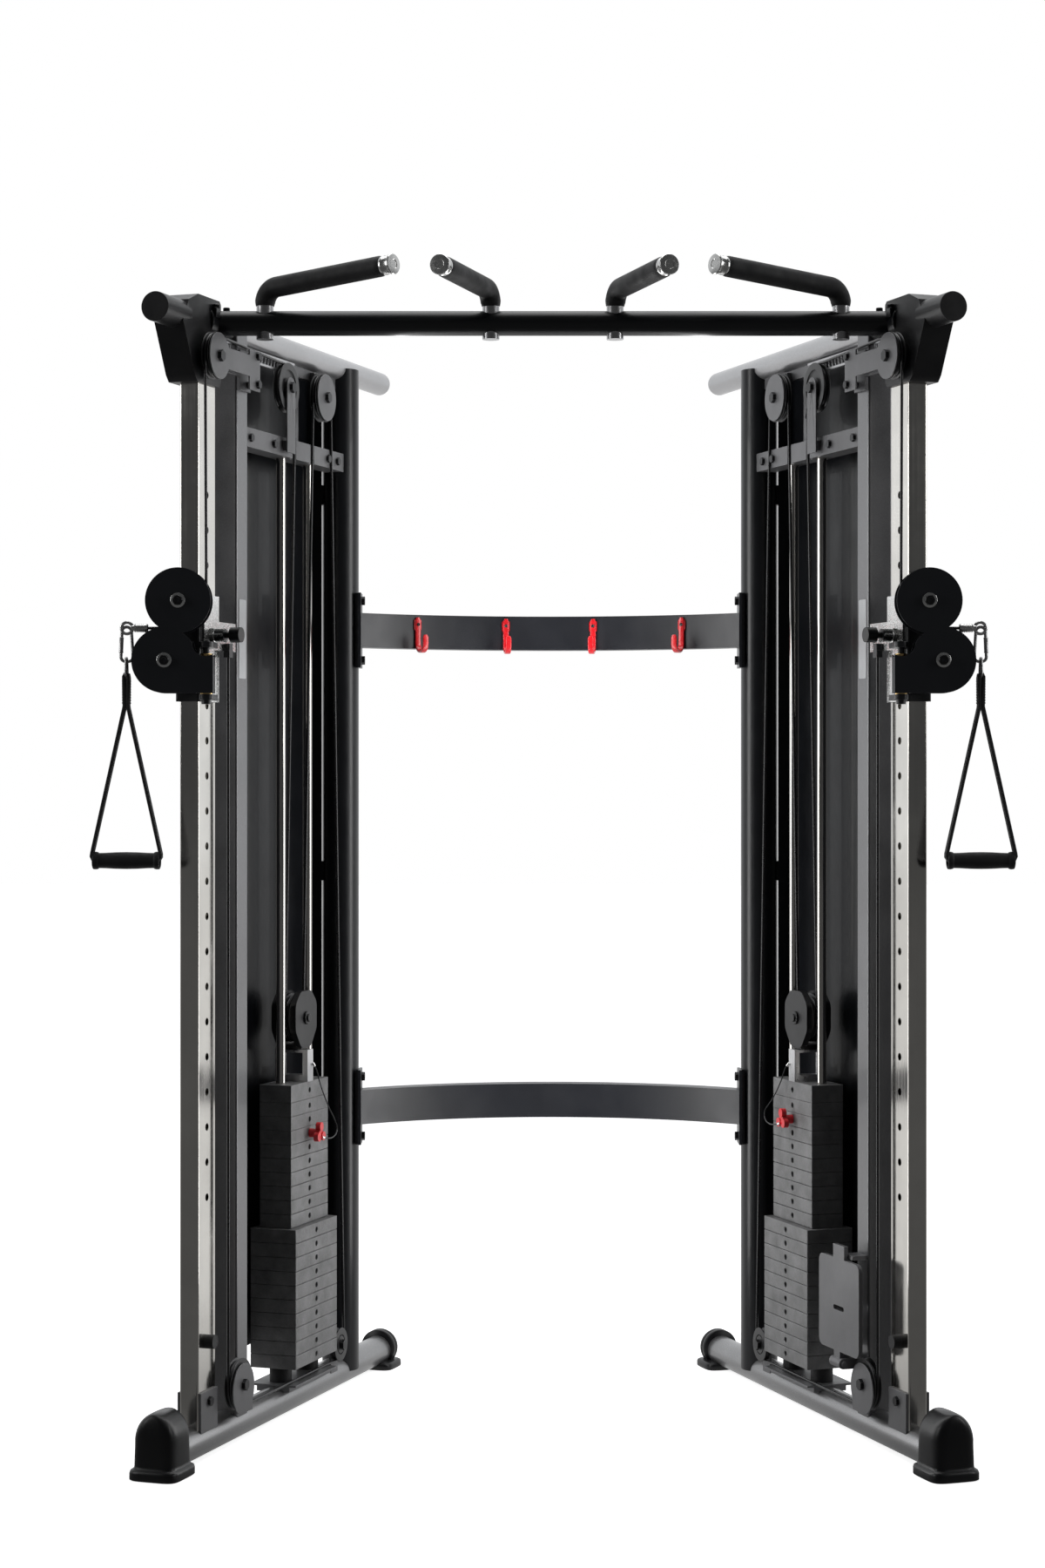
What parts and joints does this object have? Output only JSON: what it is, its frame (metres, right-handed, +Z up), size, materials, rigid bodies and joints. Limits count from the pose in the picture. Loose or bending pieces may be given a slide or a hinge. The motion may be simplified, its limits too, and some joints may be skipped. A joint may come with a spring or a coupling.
{
  "type": "functional trainer",
  "caption": "Free-standing cable machine: two splayed towers with weight stacks, height-adjustable swivelling pulley arms and D-handles, joined by bowed cross bars and a pull-up bar.",
  "frame": {"origin": "middle of the machine's footprint, on the floor", "axes": "+Z up, +Y to the rear, +X to the right as the user faces the machine"},
  "size_m": [1.6968, 1.1072, 2.2069],
  "materials": {
    "frame_grey": "satin powder coat",
    "frame_black": "satin powder coat",
    "tube_silver": "satin metallic coat",
    "column_chrome": "bright",
    "rod_chrome": "polished",
    "moulded_black": "moulded",
    "rubber": "matt",
    "bracket_grey": "satin powder coat",
    "stack_iron": "textured coat",
    "crossbar_slate": "satin powder coat",
    "hook_red": "gloss coat",
    "pin_red": "gloss",
    "grip_rubber": "textured",
    "bolt_zinc": "zinc plated",
    "cable_black": "sheathed",
    "carriage_steel": "satin powder coat",
    "arm_slate": "satin powder coat",
    "yoke_silver": "brushed",
    "pulley_black": "moulded nylon",
    "webbing": "woven"
  },
  "bodies": {
    "frame": {"base_tubes": "frame_grey", "feet": "rubber", "front_columns": "column_chrome", "middle_uprights": "frame_grey", "rear_columns": "frame_black", "top_tubes": "tube_silver", "top_caps": "moulded_black", "shrouds": "frame_black", "rod_brackets": "bracket_grey", "guide_rods": "rod_chrome", "stack_bases": "bracket_grey", "rubber_bumpers": "rubber", "resting_plates": "stack_iron", "upper_crossbar": "crossbar_slate", "lower_crossbar": "crossbar_slate", "accessory_hooks": "hook_red", "pull_up_bar": "frame_black", "pull_up_handles": "tube_silver", "pull_up_grips": "grip_rubber", "pulley_brackets": "bracket_grey", "frame_bolts": "bolt_zinc", "cables": "cable_black", "foot_plate_bracket": "bracket_grey"},
    "foot_plate": {"foot_plate": "bracket_grey"},
    "carriage_left": {"carriage_left": "carriage_steel"},
    "latch_pin_left": {"latch_pin_left": "moulded_black"},
    "pulley_arm_left": {"pulley_arm_left": "arm_slate"},
    "cable_end_left": {"cable_stop_left": "bolt_zinc"},
    "handle_left": {"handle_strap_left": "webbing", "handle_grip_left": "grip_rubber"},
    "stack_head_left": {"stack_head_left": "stack_iron", "stack_yoke_left": "yoke_silver", "pin_lanyard_left": "cable_black"},
    "selector_pin_left": {"selector_pin_left": "pin_red"},
    "top_front_pulley_left": {"top_front_pulley_left": "pulley_black"},
    "top_middle_pulley_left": {"top_middle_pulley_left": "pulley_black"},
    "top_rear_pulley_left": {"top_rear_pulley_left": "pulley_black"},
    "rear_bottom_pulley_left": {"rear_bottom_pulley_left": "pulley_black"},
    "front_bottom_pulley_left": {"front_bottom_pulley_left": "pulley_black"},
    "stack_pulley_left": {"stack_pulley_left": "pulley_black"},
    "arm_upper_pulley_left": {"arm_upper_pulley_left": "pulley_black"},
    "arm_lower_pulley_left": {"arm_lower_pulley_left": "pulley_black"},
    "carriage_right": {"carriage_right": "carriage_steel"},
    "latch_pin_right": {"latch_pin_right": "moulded_black"},
    "pulley_arm_right": {"pulley_arm_right": "arm_slate"},
    "cable_end_right": {"cable_stop_right": "bolt_zinc"},
    "handle_right": {"handle_strap_right": "webbing", "handle_grip_right": "grip_rubber"},
    "stack_head_right": {"stack_head_right": "stack_iron", "stack_yoke_right": "yoke_silver", "pin_lanyard_right": "cable_black"},
    "selector_pin_right": {"selector_pin_right": "pin_red"},
    "top_front_pulley_right": {"top_front_pulley_right": "pulley_black"},
    "top_middle_pulley_right": {"top_middle_pulley_right": "pulley_black"},
    "top_rear_pulley_right": {"top_rear_pulley_right": "pulley_black"},
    "rear_bottom_pulley_right": {"rear_bottom_pulley_right": "pulley_black"},
    "front_bottom_pulley_right": {"front_bottom_pulley_right": "pulley_black"},
    "stack_pulley_right": {"stack_pulley_right": "pulley_black"},
    "arm_upper_pulley_right": {"arm_upper_pulley_right": "pulley_black"},
    "arm_lower_pulley_right": {"arm_lower_pulley_right": "pulley_black"}
  },
  "joints": [
    {"name": "foot_plate_fold", "type": "hinge", "parent": "frame", "child": "foot_plate", "pos_m": [0.5451, -0.19624, 0.15], "axis": [0.3247, -0.9458, 0], "range_deg": [0, 80]},
    {"name": "carriage_slide_left", "type": "slide", "parent": "frame", "child": "carriage_left", "axis": [0, 0, 1], "range_m": [-1.04, 0.26], "deforming": ["cables"]},
    {"name": "latch_pin_pull_left", "type": "slide", "parent": "carriage_left", "child": "latch_pin_left", "axis": [0.9458, -0.3247, 0], "range_m": [-0.0115, 0.01], "stiffness_N_per_m": 800},
    {"name": "arm_swivel_left", "type": "hinge", "parent": "carriage_left", "child": "pulley_arm_left", "pos_m": [-0.63542, -0.41, 1.46], "axis": [0, 0, 1], "range_deg": [0, 180], "deforming": ["cables"]},
    {"name": "stack_lift_left", "type": "slide", "parent": "frame", "child": "stack_head_left", "axis": [0, 0, 1], "range_m": [0, 0.9], "deforming": ["cables"]},
    {"name": "cable_pull_left", "type": "slide", "parent": "pulley_arm_left", "child": "cable_end_left", "axis": [-1, 0, 0], "range_m": [0, 1.8], "deforming": ["cables"]},
    {"name": "handle_swing_left", "type": "hinge", "parent": "cable_end_left", "child": "handle_left", "pos_m": [-0.78142, -0.41, 1.474], "axis": [1, 0, 0], "range_deg": [-85, 85]},
    {"name": "selector_pin_pull_left", "type": "slide", "parent": "stack_head_left", "child": "selector_pin_left", "axis": [0.9458, -0.3247, 0], "range_m": [0, 0.12], "deforming": ["pin_lanyard_left"]},
    {"name": "top_front_spin_left", "type": "hinge", "parent": "frame", "child": "top_front_pulley_left", "pos_m": [-0.6255, -0.36265, 2.04], "axis": [0.9458, -0.3247, 0], "continuous": true},
    {"name": "top_middle_spin_left", "type": "hinge", "parent": "frame", "child": "top_middle_pulley_left", "pos_m": [-0.52237, -0.00686, 2.03], "axis": [0.9458, -0.3247, 0], "continuous": true},
    {"name": "top_rear_spin_left", "type": "hinge", "parent": "frame", "child": "top_rear_pulley_left", "pos_m": [-0.46392, 0.16339, 2.033], "axis": [-0.9458, 0.3247, 0], "continuous": true},
    {"name": "rear_bottom_spin_left", "type": "hinge", "parent": "frame", "child": "rear_bottom_pulley_left", "pos_m": [-0.43379, 0.20802, 0.105], "axis": [-0.9458, 0.3247, 0], "continuous": true},
    {"name": "front_bottom_spin_left", "type": "hinge", "parent": "frame", "child": "front_bottom_pulley_left", "pos_m": [-0.59227, -0.25353, 0.12], "axis": [-0.9458, 0.3247, 0], "continuous": true},
    {"name": "stack_spin_left", "type": "hinge", "parent": "stack_head_left", "child": "stack_pulley_left", "pos_m": [-0.51395, 0.08541, 0.783], "axis": [-0.9458, 0.3247, 0], "continuous": true},
    {"name": "arm_upper_spin_left", "type": "hinge", "parent": "pulley_arm_left", "child": "arm_upper_pulley_left", "pos_m": [-0.68542, -0.41, 1.585], "axis": [0, 1, 0], "continuous": true},
    {"name": "arm_lower_spin_left", "type": "hinge", "parent": "pulley_arm_left", "child": "arm_lower_pulley_left", "pos_m": [-0.71042, -0.41, 1.476], "axis": [0, -1, 0], "continuous": true},
    {"name": "carriage_slide_right", "type": "slide", "parent": "frame", "child": "carriage_right", "axis": [0, 0, 1], "range_m": [-1.04, 0.26], "deforming": ["cables"]},
    {"name": "latch_pin_pull_right", "type": "slide", "parent": "carriage_right", "child": "latch_pin_right", "axis": [-0.9458, -0.3247, 0], "range_m": [-0.0115, 0.01], "stiffness_N_per_m": 800},
    {"name": "arm_swivel_right", "type": "hinge", "parent": "carriage_right", "child": "pulley_arm_right", "pos_m": [0.63542, -0.41, 1.46], "axis": [0, 0, -1], "range_deg": [0, 180], "deforming": ["cables"]},
    {"name": "stack_lift_right", "type": "slide", "parent": "frame", "child": "stack_head_right", "axis": [0, 0, 1], "range_m": [0, 0.9], "deforming": ["cables"]},
    {"name": "cable_pull_right", "type": "slide", "parent": "pulley_arm_right", "child": "cable_end_right", "axis": [1, 0, 0], "range_m": [0, 1.8], "deforming": ["cables"]},
    {"name": "handle_swing_right", "type": "hinge", "parent": "cable_end_right", "child": "handle_right", "pos_m": [0.78142, -0.41, 1.474], "axis": [1, 0, 0], "range_deg": [-85, 85]},
    {"name": "selector_pin_pull_right", "type": "slide", "parent": "stack_head_right", "child": "selector_pin_right", "axis": [-0.9458, -0.3247, 0], "range_m": [0, 0.12], "deforming": ["pin_lanyard_right"]},
    {"name": "top_front_spin_right", "type": "hinge", "parent": "frame", "child": "top_front_pulley_right", "pos_m": [0.6255, -0.36265, 2.04], "axis": [0.9458, 0.3247, 0], "continuous": true},
    {"name": "top_middle_spin_right", "type": "hinge", "parent": "frame", "child": "top_middle_pulley_right", "pos_m": [0.52237, -0.00686, 2.03], "axis": [0.9458, 0.3247, 0], "continuous": true},
    {"name": "top_rear_spin_right", "type": "hinge", "parent": "frame", "child": "top_rear_pulley_right", "pos_m": [0.46392, 0.16339, 2.033], "axis": [-0.9458, -0.3247, 0], "continuous": true},
    {"name": "rear_bottom_spin_right", "type": "hinge", "parent": "frame", "child": "rear_bottom_pulley_right", "pos_m": [0.43379, 0.20802, 0.105], "axis": [-0.9458, -0.3247, 0], "continuous": true},
    {"name": "front_bottom_spin_right", "type": "hinge", "parent": "frame", "child": "front_bottom_pulley_right", "pos_m": [0.59227, -0.25353, 0.12], "axis": [-0.9458, -0.3247, 0], "continuous": true},
    {"name": "stack_spin_right", "type": "hinge", "parent": "stack_head_right", "child": "stack_pulley_right", "pos_m": [0.51395, 0.08541, 0.783], "axis": [-0.9458, -0.3247, 0], "continuous": true},
    {"name": "arm_upper_spin_right", "type": "hinge", "parent": "pulley_arm_right", "child": "arm_upper_pulley_right", "pos_m": [0.68542, -0.41, 1.585], "axis": [0, -1, 0], "continuous": true},
    {"name": "arm_lower_spin_right", "type": "hinge", "parent": "pulley_arm_right", "child": "arm_lower_pulley_right", "pos_m": [0.71042, -0.41, 1.476], "axis": [0, 1, 0], "continuous": true}
  ],
  "couplings": [
    {"joint": "cable_pull_left", "follows": "stack_lift_left", "ratio": 2},
    {"joint": "top_front_spin_left", "follows": "stack_lift_left", "rad_per_m": 50},
    {"joint": "top_middle_spin_left", "follows": "stack_lift_left", "rad_per_m": 44.444},
    {"joint": "top_rear_spin_left", "follows": "carriage_slide_left", "rad_per_m": 22.222},
    {"joint": "rear_bottom_spin_left", "follows": "carriage_slide_left", "rad_per_m": 33.333},
    {"joint": "front_bottom_spin_left", "follows": "carriage_slide_left", "rad_per_m": 22.222},
    {"joint": "stack_spin_left", "follows": "stack_lift_left", "rad_per_m": 22.222},
    {"joint": "arm_upper_spin_left", "follows": "stack_lift_left", "rad_per_m": 40},
    {"joint": "arm_lower_spin_left", "follows": "stack_lift_left", "rad_per_m": 40},
    {"joint": "cable_pull_right", "follows": "stack_lift_right", "ratio": 2},
    {"joint": "top_front_spin_right", "follows": "stack_lift_right", "rad_per_m": 50},
    {"joint": "top_middle_spin_right", "follows": "stack_lift_right", "rad_per_m": 44.444},
    {"joint": "top_rear_spin_right", "follows": "carriage_slide_right", "rad_per_m": 22.222},
    {"joint": "rear_bottom_spin_right", "follows": "carriage_slide_right", "rad_per_m": 33.333},
    {"joint": "front_bottom_spin_right", "follows": "carriage_slide_right", "rad_per_m": 22.222},
    {"joint": "stack_spin_right", "follows": "stack_lift_right", "rad_per_m": 22.222},
    {"joint": "arm_upper_spin_right", "follows": "stack_lift_right", "rad_per_m": 40},
    {"joint": "arm_lower_spin_right", "follows": "stack_lift_right", "rad_per_m": 40}
  ]
}
